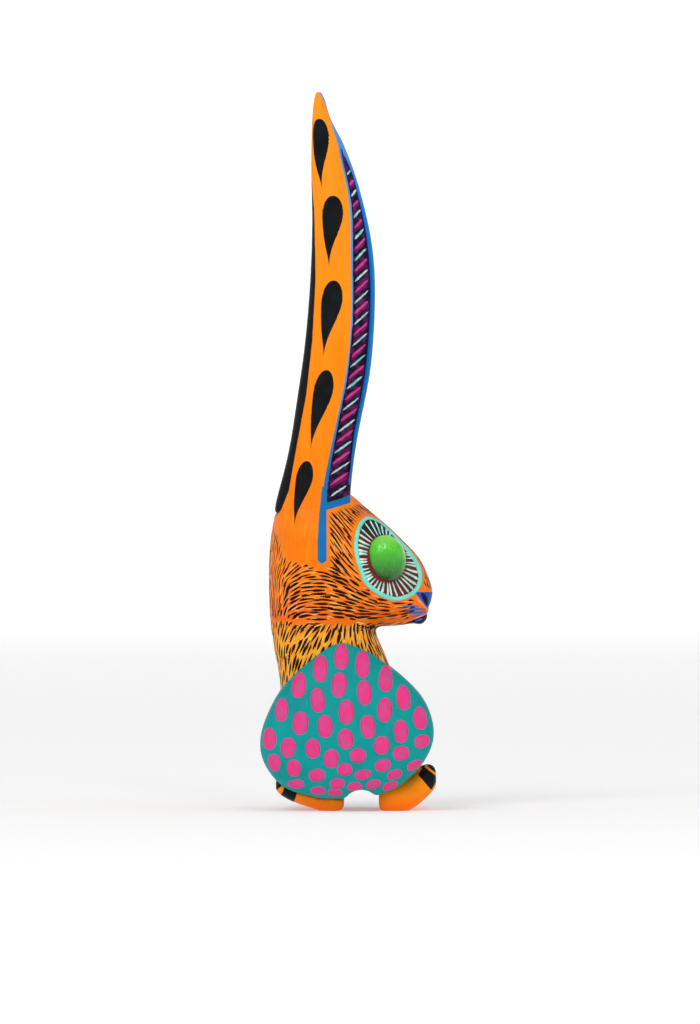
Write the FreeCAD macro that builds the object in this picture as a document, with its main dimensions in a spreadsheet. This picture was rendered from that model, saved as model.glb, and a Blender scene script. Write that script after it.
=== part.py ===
"""A painted wooden hare with tall ears, carved in pieces that are pegged and glued.

Frame: millimetres, +Z up, the hare looks along +X, its right side is -Y. The origin is the middle of the
footprint, on the surface that the feet stand on. Every carved piece is a loft through ellipses, and each
ellipse takes its place and its size from the spreadsheet. The pieces on the left are mirrored.
"""
import FreeCAD, Part
import itertools
import os

doc = FreeCAD.newDocument("hare")
sheet = doc.addObject("Spreadsheet::Sheet", "sizes")
free_rows = itertools.count(1)


def cell(alias, value):
    """Puts a plain number in the next row of the sheet, names it, and returns it as an expression."""
    row = next(free_rows)
    sheet.set(f"A{row}", alias)
    sheet.set(f"B{row}", str(value))
    sheet.setAlias(f"B{row}", alias)
    return f"sizes.{alias}"


def bind(thing, **expressions):
    """Binds properties to expressions, where base_x stands for Placement.Base.x."""
    for name, expression in expressions.items():
        path = name.replace("base_", "Placement.Base.") if name.startswith("base_") else name
        thing.setExpression(path, str(expression))
    return thing


# ---------------------------------------------------------------- sections of the carved pieces
# Upright pieces: height, back, front, middle across, half width across.
TORSO = [
    (12, -14, 11, 0, 9),
    (15, -22, 19, 0, 15),
    (22, -28.5, 25.5, 0, 21.5),
    (32, -32, 28, 0, 24.5),
    (44, -33, 27.5, 0, 25.5),
    (56, -33.5, 25, 0, 25),
    (66, -34.2, 22.6, 0, 24),
    (74, -35.6, 20, 0, 22.5),
    (82, -37.1, 16.8, 0, 21),
    (90, -38.5, 14, 0, 20.5),
]
CRANIUM = [
    (90, -38.5, 14, 0, 20.5),
    (100, -39.2, 14, 0, 21.5),
    (112, -39.6, 13, 0, 23.5),
    (125, -39.5, 12, 0, 24.5),
    (137, -38.5, 9, 0, 23.5),
    (148, -36.8, 5, 0, 20.5),
    (158, -35.6, 2, 0, 18),
]
EAR = [
    (142, -37.5, 0, -9.3, 8.6),
    (154.5, -36, 1, -9.5, 8.5),
    (178.5, -30, 3.5, -9.8, 8.4),
    (202.5, -26, 8, -10.2, 8.3),
    (226.5, -22.5, 12, -10.8, 8.1),
    (250.5, -20, 13.5, -11.5, 7.8),
    (274.5, -18.5, 13, -12.3, 7.3),
    (298.5, -18, 9, -13.2, 6.5),
    (322.5, -18.5, 2, -14.3, 5.2),
    (340, -18.2, -5, -15.2, 3.9),
    (352, -17.5, -9.8, -15.8, 2.4),
    (359, -16, -13.4, -16.1, 1),
]
# The hollow that is gouged out of each ear. Its sections are turned to open forwards and to the side.
SCOOP_TURN = 26
SCOOP = [
    (155.5, -8.9, -2.9, -15, 2.2),
    (160, -10.3, -0.3, -15, 4),
    (168, -9.6, 1.8, -15.1, 5),
    (190, -5.7, 5.1, -15.4, 5.2),
    (207, -2.3, 8.5, -15.6, 5.2),
    (225, 0.5, 11.1, -16, 5.1),
    (250, 2.3, 12.9, -16.6, 5),
    (275, 2.5, 12.2, -17.1, 4.5),
    (300, 1.9, 8.1, -17.4, 3),
    (318, -0.9, 2.9, -17.6, 1.7),
    (331, -3.6, -1.8, -17.6, 0.8),
]
HAUNCH = [
    (6.5, -16, 10, -22, 6),
    (8.5, -23, 17, -22, 8),
    (12.5, -32.6, 25.6, -22, 10.5),
    (19, -38.9, 33.3, -22, 13),
    (27, -43, 39.3, -22, 14.6),
    (36, -43.9, 42.7, -22, 15),
    (45, -41.7, 42.3, -22, 14.4),
    (55, -37, 38.2, -22, 12.8),
    (64, -30.9, 30.4, -22, 10.4),
    (72, -22.8, 21, -22, 7.6),
    (78, -15.6, 13, -22, 5),
    (82, -9.8, 5, -22.3, 2.8),
    (84.2, -4.6, -1.4, -22.5, 1),
]
FORELEG = [
    (5, 16, 30, -12.5, 6.4),
    (18, 17.5, 31, -12.5, 6.5),
    (32, 18.5, 32.5, -12.5, 6.6),
    (46, 17.5, 33, -12.5, 6.8),
    (58, 13.5, 30, -12.2, 7),
    (68, 8, 24.5, -11.8, 6.8),
    (74, 4, 18, -11.5, 6),
]
# Lengthwise pieces: place along, bottom, top, middle across, half width across.
MUZZLE = [
    (-8, 91, 157, 0, 23),
    (5, 91, 154.8, 0, 24),
    (14, 91.2, 147.4, 0, 22.6),
    (22, 92, 140.3, 0, 19.2),
    (30, 93, 132.3, 0, 14.8),
    (36, 94.3, 125.4, 0, 10.6),
    (39.5, 96.8, 118.8, 0, 7.6),
    (41.3, 101.5, 113.8, 0, 4.4),
    (41.9, 105.3, 110.3, 0, 2),
]
PAW = [
    (15.5, 1.5, 11, -12.5, 6),
    (19, -1.2, 14, -12.5, 7.8),
    (26, -1.2, 16, -12.5, 8.6),
    (33, 1.4, 19, -12.5, 9),
    (38, 5.4, 22, -12.5, 8.6),
    (42, 9.4, 22, -12.5, 6.8),
    (44, 13, 19.5, -12.5, 3.6),
]
HIND_FOOT = [
    (-36, 10.5, 15.5, -14, 3.6),
    (-34, 8.2, 17, -14, 5.8),
    (-29.5, 5.4, 16, -13.8, 7.2),
    (-24, 3.2, 15, -13.5, 7.8),
    (-18, 1.2, 14, -13.5, 8),
    (-11, -1, 13.5, -13.5, 8),
    (-5, -1.3, 12.5, -13.5, 7.8),
    (-2.6, 0.2, 11.5, -13.5, 6.4),
    (-1.8, 2.2, 9.5, -13.5, 4.2),
]
TAIL = [
    (-42.4, 24.5, 31.5, 0, 3.4),
    (-40.6, 21.2, 34.6, 0, 6.5),
    (-37, 19.4, 36, 0, 8.2),
    (-32, 19.8, 35, 0, 7.6),
    (-27, 22, 32, 0, 4.9),
]


def ellipse(name, station, low, high, across, half_width, upright, wide, turn):
    """One section. Upright pieces have level sections, lengthwise pieces have sections across X.
    wide puts the ellipse's longer axis across the hare, along Y. turn is about a level section's middle."""
    place = cell(f"{name}_station", station)
    low_end, high_end = cell(f"{name}_low", low), cell(f"{name}_high", high)
    middle, half = cell(f"{name}_across", across), cell(f"{name}_half_width", half_width)
    along = f"({high_end} - {low_end}) / 2"
    centre = f"({high_end} + {low_end}) / 2"
    section = doc.addObject("Part::Ellipse", name)
    if upright:
        pose = FreeCAD.Rotation(FreeCAD.Vector(0, 0, 1), 90 if wide else turn)
        bind(section, base_x=centre, base_y=middle, base_z=place)
    else:
        stand_up = FreeCAD.Rotation(FreeCAD.Vector(0, 1, 0), -90)
        pose = stand_up.multiply(FreeCAD.Rotation(FreeCAD.Vector(0, 0, 1), 90 if wide else 0))
        bind(section, base_x=place, base_y=middle, base_z=centre)
    section.Placement = FreeCAD.Placement(section.Placement.Base, pose)
    major, minor = (half, along) if wide else (along, half)
    return bind(section, MajorRadius=major, MinorRadius=minor)


def carved(name, rows, upright=True, wide=False, turn=0):
    """A solid loft through one ellipse per row."""
    loft = doc.addObject("Part::Loft", name)
    loft.Sections = [
        ellipse(f"{name}_{i}", *row, upright, wide, turn) for i, row in enumerate(rows, start=1)
    ]
    loft.Solid = True
    return loft


def cut(name, base, *tools):
    """base with each tool taken away."""
    for i, tool in enumerate(tools):
        step = doc.addObject("Part::Cut", name if i == len(tools) - 1 else f"{name}_less_{tool.Name}")
        step.Base, step.Tool = base, tool
        base = step
    return base


def join(name, *shapes):
    """Overlapping solids as one."""
    fuse = doc.addObject("Part::MultiFuse", name)
    fuse.Shapes = list(shapes)
    return fuse


def both(name, *shapes):
    """Separate solids kept as a group."""
    group = doc.addObject("Part::Compound", name)
    group.Links = list(shapes)
    return group


def mirrored(name, source):
    """The same piece on the hare's left."""
    twin = doc.addObject("Part::Mirroring", name)
    twin.Source = source
    twin.Base, twin.Normal = FreeCAD.Vector(0, 0, 0), FreeCAD.Vector(0, 1, 0)
    return twin


ALONG = {
    "x": FreeCAD.Rotation(FreeCAD.Vector(0, 1, 0), 90),
    "y": FreeCAD.Rotation(FreeCAD.Vector(1, 0, 0), 90),
    "z": FreeCAD.Rotation(),
}


def placed(thing, point, turn):
    """Turns a thing and binds its place to three cells of its own."""
    thing.Placement = FreeCAD.Placement(FreeCAD.Vector(0, 0, 0), turn)
    x, y, z = (cell(f"{thing.Name}_at_{axis}", value) for axis, value in zip("xyz", point))
    return bind(thing, base_x=x, base_y=y, base_z=z)


def rod(name, axis, start, length, radius):
    """A round rod from start: along +X, along -Y, or along +Z."""
    thing = placed(doc.addObject("Part::Cylinder", name), start, ALONG[axis])
    return bind(thing, Radius=cell(f"{name}_radius", radius), Height=cell(f"{name}_length", length))


def block(name, corner, size, tilt=0):
    """A box that only trims other solids. A negative tilt raises its front end, turning it about Y."""
    turn = FreeCAD.Rotation(FreeCAD.Vector(0, 1, 0), tilt)
    thing = placed(doc.addObject("Part::Box", name), corner, turn)
    length, width, height = (
        cell(f"{name}_{word}", value) for word, value in zip(("length", "width", "height"), size)
    )
    return bind(thing, Length=length, Width=width, Height=height)


def bead(name, centre, radii, turn, lean):
    """An ellipsoid with radii along X, Y and Z. It leans about Y and is then turned about Z."""
    turned = FreeCAD.Rotation(FreeCAD.Vector(0, 0, 1), turn)
    leaning = FreeCAD.Rotation(FreeCAD.Vector(0, 1, 0), lean)
    thing = placed(doc.addObject("Part::Ellipsoid", name), centre, turned.multiply(leaning))
    half_x, half_y, half_z = (
        cell(f"{name}_half_{axis}", value) for axis, value in zip("xyz", radii)
    )
    bind(thing, Radius1=half_z, Radius2=half_x, Radius3=half_y)
    thing.Angle1, thing.Angle2, thing.Angle3 = -90, 90, 360
    return thing


# ---------------------------------------------------------------- pegs, each one across a joint
neck_dowel = rod("neck_dowel", "z", (-12, 0, 74), 34, 5)
right_ear_peg = rod("right_ear_peg", "z", (-18, -9.5, 134), 34, 4)
right_haunch_back_peg = rod("right_haunch_back_peg", "y", (-14, -14, 42), 17, 2.5)
right_haunch_front_peg = rod("right_haunch_front_peg", "y", (8, -14, 42), 17, 2.5)
right_foreleg_peg = rod("right_foreleg_peg", "x", (12, -12.5, 50), 17, 2)
right_hind_foot_peg = rod("right_hind_foot_peg", "z", (-13, -17.5, 3), 13, 2)
tail_peg = rod("tail_peg", "x", (-38, 0, 27), 14, 2)

right_haunch_pegs = both("right_haunch_pegs", right_haunch_back_peg, right_haunch_front_peg)
ear_pegs = both("ear_pegs", right_ear_peg, mirrored("left_ear_peg", right_ear_peg))
haunch_pegs = both("haunch_pegs", right_haunch_pegs, mirrored("left_haunch_pegs", right_haunch_pegs))
foreleg_pegs = both("foreleg_pegs", right_foreleg_peg, mirrored("left_foreleg_peg", right_foreleg_peg))
hind_foot_pegs = both(
    "hind_foot_pegs", right_hind_foot_peg, mirrored("left_hind_foot_peg", right_hind_foot_peg)
)

# ---------------------------------------------------------------- what trims the pieces
below_floor = block("below_floor", corner=(-100, -100, -20), size=(200, 200, 20))
ear_seat = block("ear_seat", corner=(-60, -60, 145.5), size=(120, 120, 260), tilt=-8)
belly_arch = rod("belly_arch", "y", (6.5, 60, 2), 120, 9)

# ---------------------------------------------------------------- torso and tail
torso = cut(
    "torso", carved("torso_block", TORSO), neck_dowel, haunch_pegs, foreleg_pegs, tail_peg
)
tail = cut("tail", carved("tail_block", TAIL, upright=False), doc.torso_block, tail_peg)

# ---------------------------------------------------------------- head, eyes and ears
right_eye = bead("right_eye", (19.4, -18.4, 126), (9.8, 7.8, 12), turn=22, lean=-16)
left_eye = mirrored("left_eye", right_eye)
head_block = join("head_block", carved("cranium", CRANIUM), carved("muzzle", MUZZLE, upright=False))
head = cut("head", head_block, ear_seat, right_eye, left_eye, ear_pegs, neck_dowel)

ear_blade = doc.addObject("Part::Common", "ear_blade")
ear_blade.Base, ear_blade.Tool = carved("ear_leaf", EAR), ear_seat
right_ear = cut("right_ear", ear_blade, carved("ear_scoop", SCOOP, turn=SCOOP_TURN), right_ear_peg)
left_ear = mirrored("left_ear", right_ear)

# ---------------------------------------------------------------- forelegs with their paws
foreleg_block = join(
    "foreleg_block", carved("foreleg_stem", FORELEG), carved("paw", PAW, upright=False, wide=True)
)
right_foreleg = cut("right_foreleg", foreleg_block, below_floor, doc.torso_block, right_foreleg_peg)
left_foreleg = mirrored("left_foreleg", right_foreleg)

# ---------------------------------------------------------------- haunches and hind feet
haunch_block = cut("haunch_block", carved("haunch_disc", HAUNCH), doc.torso_block, foreleg_block, belly_arch)
right_haunch = cut("right_haunch", haunch_block, right_haunch_pegs, right_hind_foot_peg)
left_haunch = mirrored("left_haunch", right_haunch)
right_hind_foot = cut(
    "right_hind_foot",
    carved("hind_foot_block", HIND_FOOT, upright=False, wide=True),
    below_floor,
    haunch_block,
    doc.torso_block,
    right_hind_foot_peg,
)
left_hind_foot = mirrored("left_hind_foot", right_hind_foot)

# ---------------------------------------------------------------- check and write
PIECES = [
    torso, tail, head, right_eye, left_eye, right_ear, left_ear,
    right_foreleg, left_foreleg, right_haunch, left_haunch, right_hind_foot, left_hind_foot,
    neck_dowel, ear_pegs, haunch_pegs, foreleg_pegs, hind_foot_pegs, tail_peg,
]

doc.recompute()
for thing in doc.Objects:
    if {"Invalid", "Error"} & set(thing.State):
        raise RuntimeError(f"{thing.Label} failed: {thing.State}")
for piece in PIECES:
    if piece.Shape.isNull() or not piece.Shape.isValid():
        raise RuntimeError(f"{piece.Label} has no valid shape")

os.makedirs("parts", exist_ok=True)
for piece in PIECES:
    piece.Shape.exportStep(f"parts/{piece.Label}.step")
    solids = [round(solid.Volume) for solid in piece.Shape.Solids]
    print(f"{piece.Label}: {len(solids)} solid(s), mm3 {solids}")
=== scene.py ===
"""Looks of a carved and painted wooden hare, built around its CAD frame.

Blender works in metres, and this script writes its own sizes in millimetres, times MM. The hare looks
along +X and its right side is -Y. Paint is laid in two ways: broad areas are signed distances stored on
the skin and cut off sharply in the material, and brush marks are thin raised ribbons that lie on the skin.
"""

import itertools
import math
import random

import bmesh
import bpy
import numpy as np
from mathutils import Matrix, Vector
from mathutils.bvhtree import BVHTree
from mathutils.kdtree import KDTree


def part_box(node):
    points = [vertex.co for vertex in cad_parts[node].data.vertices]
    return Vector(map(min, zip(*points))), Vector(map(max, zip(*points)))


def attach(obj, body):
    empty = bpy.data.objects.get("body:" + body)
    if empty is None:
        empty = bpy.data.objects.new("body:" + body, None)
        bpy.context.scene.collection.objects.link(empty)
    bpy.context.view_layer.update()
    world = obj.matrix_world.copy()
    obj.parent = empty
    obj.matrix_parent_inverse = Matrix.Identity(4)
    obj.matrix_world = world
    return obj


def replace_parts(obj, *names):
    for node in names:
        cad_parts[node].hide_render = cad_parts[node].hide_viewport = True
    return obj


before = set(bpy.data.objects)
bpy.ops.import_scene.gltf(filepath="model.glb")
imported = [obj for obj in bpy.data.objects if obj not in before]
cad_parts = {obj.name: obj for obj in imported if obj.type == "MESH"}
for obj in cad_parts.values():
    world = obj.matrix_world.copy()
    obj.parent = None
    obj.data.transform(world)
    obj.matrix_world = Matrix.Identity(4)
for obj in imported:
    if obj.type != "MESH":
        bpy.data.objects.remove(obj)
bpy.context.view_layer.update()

MM = 0.001
SKIN_STEP = 0.6 * MM
SIDES = {"right": -1, "left": 1}
rng = random.Random(7)


# ==== meshes as arrays
def vertex_array(mesh, what):
    """One vector for each vertex of a mesh, as an array."""
    flat = np.empty(len(mesh.vertices) * 3)
    mesh.vertices.foreach_get(what, flat)
    return flat.reshape(-1, 3)


def points_of(mesh):
    """The vertices of a mesh as an array, in millimetres."""
    return vertex_array(mesh, "co") / MM


def normals_of(mesh):
    return vertex_array(mesh, "normal")


def move_points(mesh, points):
    """Puts the vertices of a mesh at the given places, in millimetres."""
    mesh.vertices.foreach_set("co", (points * MM).ravel())
    mesh.update()


def middle_and_half(node):
    """The middle of a CAD node's box and half its size, in millimetres."""
    low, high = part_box(node)
    return np.array(low + high) / 2 / MM, np.array(high - low) / 2 / MM


def cad_mesh(*names):
    """Copies of the named CAD nodes in one mesh."""
    shape = bmesh.new()
    for name in names:
        shape.from_mesh(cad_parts[name].data)
    mesh = bpy.data.meshes.new(names[0] + "_form")
    shape.to_mesh(mesh)
    shape.free()
    return mesh


def place_in_scene(name, data):
    """A new object that holds a mesh, a light or a camera."""
    obj = bpy.data.objects.new(name, data)
    bpy.context.scene.collection.objects.link(obj)
    return obj


def skinned(mesh, step=SKIN_STEP):
    """One even skin of small quads round everything in the mesh."""
    holder = place_in_scene("holder", mesh)
    remesh = holder.modifiers.new("skin", "REMESH")
    remesh.mode = "VOXEL"
    remesh.voxel_size = step
    ready = holder.evaluated_get(bpy.context.evaluated_depsgraph_get())
    skin = bpy.data.meshes.new_from_object(ready)
    bpy.data.objects.remove(holder)
    return skin


def relax(mesh, weight, rounds):
    """Moves each vertex towards the middle of its neighbours, as far as its weight from 0 to 1."""
    points = points_of(mesh)
    ends = np.empty(len(mesh.edges) * 2, int)
    mesh.edges.foreach_get("vertices", ends)
    a, b = ends[0::2], ends[1::2]
    total = len(points)
    neighbours = np.maximum(np.bincount(a, minlength=total) + np.bincount(b, minlength=total), 1)
    weight = np.broadcast_to(weight, total)
    active = np.flatnonzero(weight > 0)
    if len(active) < total:
        keep = (weight[a] > 0) | (weight[b] > 0)
        a, b = a[keep], b[keep]
    weight = weight[active][:, None]
    for _ in range(rounds):
        sums = [np.bincount(a, points[b, k], total) + np.bincount(b, points[a, k], total) for k in range(3)]
        middle = np.stack(sums, axis=1)[active] / neighbours[active][:, None]
        points[active] += weight * (middle - points[active])
    move_points(mesh, points)


def smooth(share):
    """Eases a share into 0 and 1 at its ends, and holds it there."""
    share = np.clip(share, 0, 1)
    return share * share * (3 - 2 * share)


def near(values, middle, reach):
    """1 where values equal middle, falling smoothly to 0 at reach."""
    return smooth(1 - np.abs(values - middle) / reach)


def rise(values, start, end):
    """0 before start, 1 after end, and smooth between."""
    return smooth((values - start) / (end - start))


def store(mesh, name, values):
    """Keeps one number per vertex for a material to read."""
    layer = mesh.attributes.new(name, "FLOAT", "POINT")
    layer.data.foreach_set("value", np.asarray(values, dtype=np.float32))


def part_of(mesh, *cuts):
    """The part of a closed mesh behind each cut, closed again. A cut is a point and a normal."""
    shape = bmesh.new()
    shape.from_mesh(mesh)
    for point, normal in cuts:
        everything = shape.verts[:] + shape.edges[:] + shape.faces[:]
        bmesh.ops.bisect_plane(
            shape, geom=everything, plane_co=Vector(point) * MM, plane_no=normal, clear_outer=True
        )
        rim = [edge for edge in shape.edges if edge.is_boundary]
        bmesh.ops.holes_fill(shape, edges=rim, sides=0)
    part = bpy.data.meshes.new("part")
    shape.to_mesh(part)
    shape.free()
    return part


def piece(name, mesh, material):
    """Adds a mesh to the scene as a piece that rides on the root body."""
    mesh.name = name
    mesh.materials.clear()
    mesh.materials.append(material)
    mesh.shade_smooth()
    obj = place_in_scene(name, mesh)
    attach(obj, "root")
    return obj


def stand_in(node, mesh, material, ending="wood"):
    """Adds a mesh as the piece that a CAD node is seen as."""
    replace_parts(piece(f"{node}_{ending}", mesh, material), node)


def add_marks(name, material, marks):
    """Adds brush marks to the scene as one piece."""
    piece(name, marks.mesh(), material)


# ==== paint
def linear(color):
    """A colour from 0 to 255 per channel, as screens show it, in the form that shaders take."""
    return (*((c / 255 / 12.92 if c < 11 else ((c / 255 + 0.055) / 1.055) ** 2.4) for c in color), 1.0)


def fill(node, values):
    """Fills a node's inputs, each with a plain value, a colour or the output of another node."""
    for key, value in values.items():
        socket = node.inputs[key]
        if isinstance(value, bpy.types.NodeSocket):
            node.id_data.links.new(value, socket)
        else:
            socket.default_value = linear(value) if socket.type == "RGBA" else value


class Paint:
    """A satin paint, built up in layers."""

    GLOSS = 0.12
    MIDDLE_OF_NOISE = (0.3, 0.7)

    def __init__(self, name, roughness=0.42):
        self.material = bpy.data.materials.new(name)
        self.material.use_nodes = True
        self.tree = self.material.node_tree
        self.shader = self.tree.nodes["Principled BSDF"]
        fill(self.shader, {"Roughness": roughness, "Specular IOR Level": self.GLOSS})
        self.color = None
        on_object = self.node("TexCoord", {})["Object"]
        self.place = self.node("VectorMath", {0: on_object, "Scale": 1 / MM}, operation="SCALE")["Vector"]

    def node(self, kind, values, **settings):
        """The outputs of a new node."""
        node = self.tree.nodes.new("ShaderNode" + kind)
        for name, value in settings.items():
            setattr(node, name, value)
        fill(node, values)
        return node.outputs

    def math(self, operation, *values):
        return self.node("Math", dict(enumerate(values)), operation=operation)[0]

    def noise(self, size, detail=3.0, stretch=(1, 1, 1)):
        """Cloudy noise from 0 to 1. Its features are about size in millimetres, times stretch."""
        scale = [1 / (size * along) for along in stretch]
        place = self.node("VectorMath", {0: self.place, 1: scale}, operation="MULTIPLY")["Vector"]
        return self.node("TexNoise", {"Scale": 1.0, "Detail": detail, "Vector": place})["Fac"]

    def span(self, value, start, end, low=0.0, high=1.0):
        """A value from start to end, mapped to run smoothly from low to high."""
        limits = {"From Min": start, "From Max": end, "To Min": low, "To Max": high}
        return self.node("MapRange", {"Value": value, **limits}, interpolation_type="SMOOTHSTEP")["Result"]

    def axis(self, letter):
        """The place along X, Y or Z, in millimetres."""
        return self.node("SeparateXYZ", {0: self.place})[letter]

    def region(self, name, soft=0.12, ragged=0.0):
        """1 where the number stored on the skin is over zero, with an edge about as soft as given."""
        value = self.node("Attribute", {}, attribute_name=name)["Fac"]
        if ragged:
            wobble = self.math("MULTIPLY", self.math("SUBTRACT", self.noise(2.2), 0.5), 2 * ragged)
            value = self.math("ADD", value, wobble)
        return self.span(value, -soft, soft)

    def mixed(self, share, first, second):
        return self.node("Mix", {"Factor": share, 6: first, 7: second}, data_type="RGBA")[2]

    def by_height(self, *stops):
        """Colours that change with height, at given stops."""
        first, last = stops[0][0], stops[-1][0]
        limits = {"From Min": first, "From Max": last}
        share = self.node("MapRange", {"Value": self.axis("Z"), **limits})["Result"]
        color = self.node("ValToRGB", {"Fac": share})["Color"]
        marks = color.node.color_ramp.elements
        while len(marks) < len(stops):
            marks.new(0.5)
        for mark, (place, stop_color) in zip(marks, stops):
            mark.position = (place - first) / (last - first)
            mark.color = linear(stop_color)
        return color

    def coat(self, share, color):
        """Lays a colour over what is there, where share is 1."""
        self.color = self.mixed(share, self.color, color) if self.color is not None else color

    def area(self, name, color, soft=0.12, ragged=0.0):
        """Lays a colour over a region that is stored on the skin."""
        self.coat(self.region(name, soft, ragged), color)

    def cloud(self, color, size, start, end, most=1.0, stretch=(1, 1, 1), detail=3.0):
        """Lays a colour on in clouds, where noise runs from start to end."""
        self.coat(self.span(self.noise(size, detail, stretch), start, end, 0.0, most), color)

    def finish(self, mottle=0.10, mottle_size=9.0, bump=0.03, bump_size=0.5, stretch=(1, 1, 1)):
        """Mottles the colour and the gloss, adds the faint brush relief, and returns the material."""
        cloud = self.noise(mottle_size, 4.0, stretch)
        fine = self.noise(bump_size, 3.0, stretch)
        spread = self.math("ADD", self.math("MULTIPLY", cloud, 0.7), self.math("MULTIPLY", fine, 0.3))
        brightness = self.span(spread, *self.MIDDLE_OF_NOISE, 1 - mottle, 1 + mottle)
        tint = self.node("HueSaturation", {"Color": self.color, "Value": brightness})["Color"]
        rough = self.shader.inputs["Roughness"].default_value
        roughness = self.span(spread, *self.MIDDLE_OF_NOISE, rough - 0.06, rough + 0.08)
        relief = self.node("Bump", {"Strength": 0.75, "Distance": 2 * bump * MM, "Height": fine})["Normal"]
        surface = {"Base Color": tint, "Roughness": roughness, "Normal": relief, "Coat Normal": relief}
        fill(self.shader, surface)
        return self.material


BLUE = (12, 112, 174)
BRIGHT_BLUE = (18, 122, 204)
PALE_BLUE = (84, 156, 222)
NAVY = (26, 20, 84)
MINT = (106, 226, 204)
SLATE = (10, 14, 18)
TEAL = (4, 152, 150)
PINK = (230, 56, 132)


def simple_paint(name, first, second, blend_size, roughness=0.42, **finish):
    """A paint that drifts between two close colours."""
    paint = Paint(name, roughness)
    paint.coat(1.0, first)
    paint.cloud(second, blend_size, 0.4, 0.6)
    return paint.finish(**finish)


def brushed_orange(paint):
    """The plain orange of the ears, with faint brush streaks up and down. It deepens towards the head."""
    base = paint.by_height(
        (120, (250, 120, 0)),
        (170, (252, 130, 2)),
        (250, (252, 142, 6)),
        (330, (250, 148, 26)),
    )
    streaks = paint.span(paint.noise(1.6, stretch=(1, 1, 14)), 0.48, 0.75, 0.0, 0.35)
    return paint.mixed(streaks, base, (255, 158, 30))


def fur_ground(paint):
    """Orange under the fur: yellow on the neck, red where the head meets it, clear orange above."""
    ground = paint.by_height(
        (20, (236, 128, 12)),
        (70, (250, 164, 30)),
        (88, (250, 160, 28)),
        (93.5, (246, 120, 8)),
        (97, (242, 100, 8)),
        (104, (248, 116, 8)),
        (116, (252, 126, 8)),
        (150, (253, 132, 10)),
    )
    rosy = paint.span(paint.noise(14), 0.5, 0.72, 0.0, 0.35)
    return paint.mixed(rosy, ground, (238, 104, 26))


def blue_lines(paint):
    """The blue at the foot of each ear, which runs on from the ear to the head."""
    paint.area("band", BLUE, ragged=0.08)
    paint.area("streak", BLUE, ragged=0.1)


def head_paint():
    paint = Paint("head_paint", 0.40)
    paint.coat(1.0, fur_ground(paint))
    paint.coat(paint.math("MULTIPLY", paint.region("forehead", 3.0), 0.6), (232, 116, 66))
    paint.area("plain", brushed_orange(paint), 0.8)
    paint.area("stripe", SLATE, ragged=0.15)
    blue_lines(paint)
    slanting = paint.math("ADD", paint.axis("Z"), paint.math("MULTIPLY", paint.axis("X"), 0.5))
    iris = paint.mixed(paint.span(slanting, 138, 147), (108, 34, 32), (22, 44, 40))
    paint.area("iris", iris, 0.2)
    paint.area("chin", (12, 18, 62), 0.15, 0.3)
    paint.area("nose", (24, 84, 182), ragged=0.2)
    return paint.finish(mottle=0.08, stretch=(2.2, 1, 1))


def torso_paint():
    paint = Paint("torso_paint", 0.42)
    paint.coat(1.0, fur_ground(paint))
    return paint.finish(mottle=0.1, stretch=(1, 1, 2.2))


def ear_paint():
    paint = Paint("ear_paint", 0.38)
    paint.coat(1.0, brushed_orange(paint))
    paint.area("stripe", SLATE, ragged=0.15)
    purple = paint.span(paint.noise(3.5), 0.45, 0.62)
    paint.area("hollow", paint.mixed(purple, (24, 12, 38), (92, 28, 84)))
    paint.area("rim_navy", NAVY, 0.2)
    thin_line = paint.by_height((170, BLUE), (230, PALE_BLUE), (300, PALE_BLUE), (345, BRIGHT_BLUE))
    paint.area("near_line", thin_line, ragged=0.08)
    wide_line = paint.by_height((170, BLUE), (300, BRIGHT_BLUE), (345, (92, 152, 230)))
    paint.area("far_line", wide_line, ragged=0.08)
    blue_lines(paint)
    return paint.finish(mottle=0.06, mottle_size=5, stretch=(1, 1, 6))


def foot_paint():
    paint = Paint("foot_paint", 0.40)
    orange = paint.by_height(
        (0, (250, 112, 2)),
        (12, (255, 142, 6)),
        (22, (255, 152, 14)),
        (70, (250, 142, 16)),
    )
    paint.coat(1.0, orange)
    paint.cloud((255, 160, 36), 3, 0.5, 0.75, 0.4, (5, 1, 1))
    paint.area("toes", (12, 12, 14), ragged=0.25)
    return paint.finish(mottle=0.07, stretch=(3, 1, 1))


def haunch_paint():
    paint = Paint("haunch_paint", 0.5)
    paint.coat(1.0, TEAL)
    paint.cloud((8, 140, 142), 16, 0.42, 0.66, 0.7, detail=4.0)
    paint.cloud((24, 176, 166), 1.2, 0.55, 0.8, 0.4, (1, 1, 8))
    # A pale line along the upper edge of the haunch: a painted highlight where light catches the rounded rim.
    paint.area("edge", (150, 220, 200), 0.3, 0.3)
    return paint.finish(mottle=0.05, mottle_size=6)


def eye_lacquer():
    """Green paint under thick clear lacquer that has set a little unevenly. The green darkens towards the
    bottom of the dome as painted shade and lightens towards its top as painted light.
    """
    paint = Paint("eye_lacquer", 0.22)
    # Painted shade at the bottom of the dome and painted light at its top, laid into the green itself.
    green_painted_light_and_shade = paint.by_height(
        (113, (4, 40, 0)),
        (119, (14, 104, 0)),
        (126, (44, 168, 0)),
        (132, (78, 206, 24)),
        (139, (150, 240, 104)),
    )
    paint.coat(1.0, green_painted_light_and_shade)
    paint.cloud((110, 214, 50), 2.2, 0.55, 0.75, 0.35)
    fill(paint.shader, {"Coat Weight": 1.0, "Coat IOR": 1.55, "Coat Roughness": 0.06})
    return paint.finish(mottle=0.06, mottle_size=3, bump=0.34, bump_size=2.4)


def bare_wood():
    """Pale straight-grained wood for the pegs."""
    paint = Paint("bare_wood", 0.6)
    paint.coat(1.0, (214, 184, 140))
    paint.cloud((176, 138, 92), 0.8, 0.45, 0.65, 0.8, (1, 1, 12), 4.0)
    return paint.finish(mottle=0.08, mottle_size=2, bump=0.05)


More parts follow.
